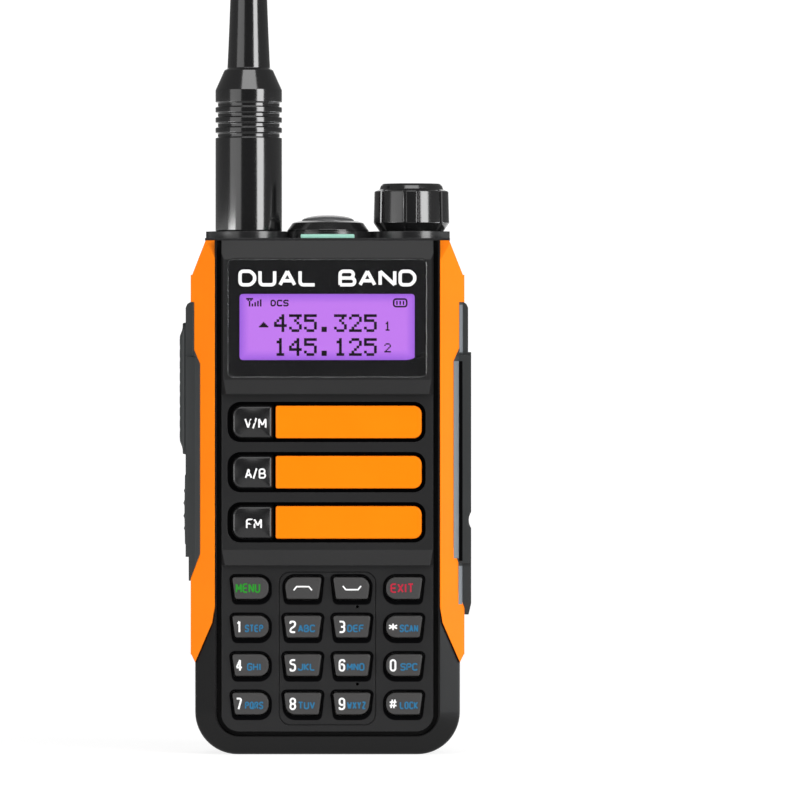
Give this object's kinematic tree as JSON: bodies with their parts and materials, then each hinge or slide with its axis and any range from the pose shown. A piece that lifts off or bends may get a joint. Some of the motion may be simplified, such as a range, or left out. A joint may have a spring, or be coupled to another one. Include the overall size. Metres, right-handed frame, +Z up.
{
  "type": "two way radio",
  "caption": "Hand-held two way radio with keypad, lit display, talk button, volume knob, torch, whip antenna, clip-on battery and belt clip.",
  "frame": {"origin": "on the flat base that the radio stands on, in the middle of its width, 0.5 mm behind the plane of the antenna, torch and knob axes", "axes": "+Z up along the antenna, -Y out of the keypad and display, +X to the viewer's right when the keypad is seen from the front"},
  "size_m": [0.0673, 0.0453, 0.3],
  "materials": {
    "housing_black": "fine moulded texture",
    "panel_black": "fine moulded texture",
    "top_black": "satin",
    "side_orange": "satin",
    "bar_orange": "satin",
    "key_grey": "soft satin",
    "function_key": "gloss",
    "window_clear": "clear with a black mask behind",
    "lcd_lit": "lit violet",
    "backlight_white": "white",
    "mat_rubber": "matte",
    "pad_rubber": "matte",
    "button_rubber": "matte",
    "antenna_rubber": "satin",
    "knob_black": "satin",
    "bezel_black": "gloss",
    "lens_clear": "clear",
    "led_yellow": "phosphor",
    "status_mint": "translucent",
    "steel": "bright",
    "pot_metal": "pressed",
    "brass": "bright",
    "board_green": "solder mask",
    "speaker_dark": "matte",
    "socket_black": "matte",
    "battery_black": "fine moulded texture",
    "cell_foil": "foil pouch",
    "latch_black": "satin",
    "clip_black": "satin"
  },
  "bodies": {
    "radio_body": {"front_housing": "housing_black", "rear_housing": "housing_black", "front_panel": "panel_black", "top_cover": "top_black", "side_panel_left": "side_orange", "side_panel_right": "side_orange", "speaker_bars": "bar_orange", "display_window": "window_clear", "lcd_panel": "lcd_lit", "lcd_backlight": "backlight_white", "keypad_mat": "mat_rubber", "ptt_surround": "pad_rubber", "jack_trim": "pad_rubber", "torch_bezel": "bezel_black", "torch_lens": "lens_clear", "torch_led": "led_yellow", "status_light": "status_mint", "antenna_socket": "steel", "clip_pin": "steel", "clip_spring": "steel", "jack_screw": "steel", "clip_screws": "steel", "volume_pot": "pot_metal", "spring_contacts": "brass", "main_board": "board_green", "loudspeaker": "speaker_dark", "jack_block": "socket_black", "clip_bracket": "clip_black"},
    "key_menu": {"key_menu": "key_grey"},
    "key_up": {"key_up": "key_grey"},
    "key_down": {"key_down": "key_grey"},
    "key_exit": {"key_exit": "key_grey"},
    "key_1": {"key_1": "key_grey"},
    "key_2": {"key_2": "key_grey"},
    "key_3": {"key_3": "key_grey"},
    "key_star": {"key_star": "key_grey"},
    "key_4": {"key_4": "key_grey"},
    "key_5": {"key_5": "key_grey"},
    "key_6": {"key_6": "key_grey"},
    "key_0": {"key_0": "key_grey"},
    "key_7": {"key_7": "key_grey"},
    "key_8": {"key_8": "key_grey"},
    "key_9": {"key_9": "key_grey"},
    "key_hash": {"key_hash": "key_grey"},
    "vm_key": {"vm_key": "function_key"},
    "ab_key": {"ab_key": "function_key"},
    "fm_key": {"fm_key": "function_key"},
    "ptt_button": {"ptt_button": "button_rubber"},
    "side_key": {"side_key": "button_rubber"},
    "jack_flap": {"jack_flap": "pad_rubber"},
    "volume_control": {"volume_knob": "knob_black", "volume_shaft": "steel"},
    "antenna_whip": {"antenna": "antenna_rubber", "antenna_insert": "brass"},
    "battery_pack": {"battery_shell": "battery_black", "battery_tray": "battery_black", "battery_cells": "cell_foil", "charge_contacts": "brass"},
    "battery_latch": {"battery_latch": "latch_black"},
    "belt_clip": {"belt_clip": "clip_black"}
  },
  "joints": [
    {"name": "key_menu_press", "type": "slide", "parent": "radio_body", "child": "key_menu", "axis": [0, 1, 0], "range_m": [0, 0.0006], "stiffness_N_per_m": 500},
    {"name": "key_up_press", "type": "slide", "parent": "radio_body", "child": "key_up", "axis": [0, 1, 0], "range_m": [0, 0.0006], "stiffness_N_per_m": 500},
    {"name": "key_down_press", "type": "slide", "parent": "radio_body", "child": "key_down", "axis": [0, 1, 0], "range_m": [0, 0.0006], "stiffness_N_per_m": 500},
    {"name": "key_exit_press", "type": "slide", "parent": "radio_body", "child": "key_exit", "axis": [0, 1, 0], "range_m": [0, 0.0006], "stiffness_N_per_m": 500},
    {"name": "key_1_press", "type": "slide", "parent": "radio_body", "child": "key_1", "axis": [0, 1, 0], "range_m": [0, 0.0006], "stiffness_N_per_m": 500},
    {"name": "key_2_press", "type": "slide", "parent": "radio_body", "child": "key_2", "axis": [0, 1, 0], "range_m": [0, 0.0006], "stiffness_N_per_m": 500},
    {"name": "key_3_press", "type": "slide", "parent": "radio_body", "child": "key_3", "axis": [0, 1, 0], "range_m": [0, 0.0006], "stiffness_N_per_m": 500},
    {"name": "key_star_press", "type": "slide", "parent": "radio_body", "child": "key_star", "axis": [0, 1, 0], "range_m": [0, 0.0006], "stiffness_N_per_m": 500},
    {"name": "key_4_press", "type": "slide", "parent": "radio_body", "child": "key_4", "axis": [0, 1, 0], "range_m": [0, 0.0006], "stiffness_N_per_m": 500},
    {"name": "key_5_press", "type": "slide", "parent": "radio_body", "child": "key_5", "axis": [0, 1, 0], "range_m": [0, 0.0006], "stiffness_N_per_m": 500},
    {"name": "key_6_press", "type": "slide", "parent": "radio_body", "child": "key_6", "axis": [0, 1, 0], "range_m": [0, 0.0006], "stiffness_N_per_m": 500},
    {"name": "key_0_press", "type": "slide", "parent": "radio_body", "child": "key_0", "axis": [0, 1, 0], "range_m": [0, 0.0006], "stiffness_N_per_m": 500},
    {"name": "key_7_press", "type": "slide", "parent": "radio_body", "child": "key_7", "axis": [0, 1, 0], "range_m": [0, 0.0006], "stiffness_N_per_m": 500},
    {"name": "key_8_press", "type": "slide", "parent": "radio_body", "child": "key_8", "axis": [0, 1, 0], "range_m": [0, 0.0006], "stiffness_N_per_m": 500},
    {"name": "key_9_press", "type": "slide", "parent": "radio_body", "child": "key_9", "axis": [0, 1, 0], "range_m": [0, 0.0006], "stiffness_N_per_m": 500},
    {"name": "key_hash_press", "type": "slide", "parent": "radio_body", "child": "key_hash", "axis": [0, 1, 0], "range_m": [0, 0.0006], "stiffness_N_per_m": 500},
    {"name": "vm_key_press", "type": "slide", "parent": "radio_body", "child": "vm_key", "axis": [0, 1, 0], "range_m": [0, 0.0006], "stiffness_N_per_m": 500},
    {"name": "ab_key_press", "type": "slide", "parent": "radio_body", "child": "ab_key", "axis": [0, 1, 0], "range_m": [0, 0.0006], "stiffness_N_per_m": 500},
    {"name": "fm_key_press", "type": "slide", "parent": "radio_body", "child": "fm_key", "axis": [0, 1, 0], "range_m": [0, 0.0006], "stiffness_N_per_m": 500},
    {"name": "ptt_press", "type": "slide", "parent": "radio_body", "child": "ptt_button", "axis": [1, 0, 0], "range_m": [0, 0.001], "stiffness_N_per_m": 1200},
    {"name": "side_key_press", "type": "slide", "parent": "radio_body", "child": "side_key", "axis": [1, 0, 0], "range_m": [0, 0.0008], "stiffness_N_per_m": 900},
    {"name": "jack_flap_hinge", "type": "hinge", "parent": "radio_body", "child": "jack_flap", "pos_m": [0.0331, -0.0082, 0.09275], "axis": [0, -1, 0], "range_deg": [0, 100], "stiffness_Nm_per_rad": 0.004},
    {"name": "volume_turn", "type": "hinge", "parent": "radio_body", "child": "volume_control", "pos_m": [0.01935, -0.0005, 0.125], "axis": [0, 0, -1], "range_deg": [0, 300]},
    {"name": "antenna_lift", "type": "slide", "parent": "radio_body", "child": "antenna_whip", "axis": [0, 0, 1], "range_m": [0, 0.02]},
    {"name": "battery_slide", "type": "slide", "parent": "radio_body", "child": "battery_pack", "axis": [0, 0, -1], "range_m": [0, 0.012]},
    {"name": "latch_press", "type": "slide", "parent": "battery_pack", "child": "battery_latch", "axis": [0, -1, 0], "range_m": [0, 0.0012], "stiffness_N_per_m": 800},
    {"name": "belt_clip_hinge", "type": "hinge", "parent": "radio_body", "child": "belt_clip", "pos_m": [0, 0.0192, 0.107], "axis": [1, 0, 0], "range_deg": [0, 15], "stiffness_Nm_per_rad": 0.6, "springref_deg": -11.46}
  ]
}
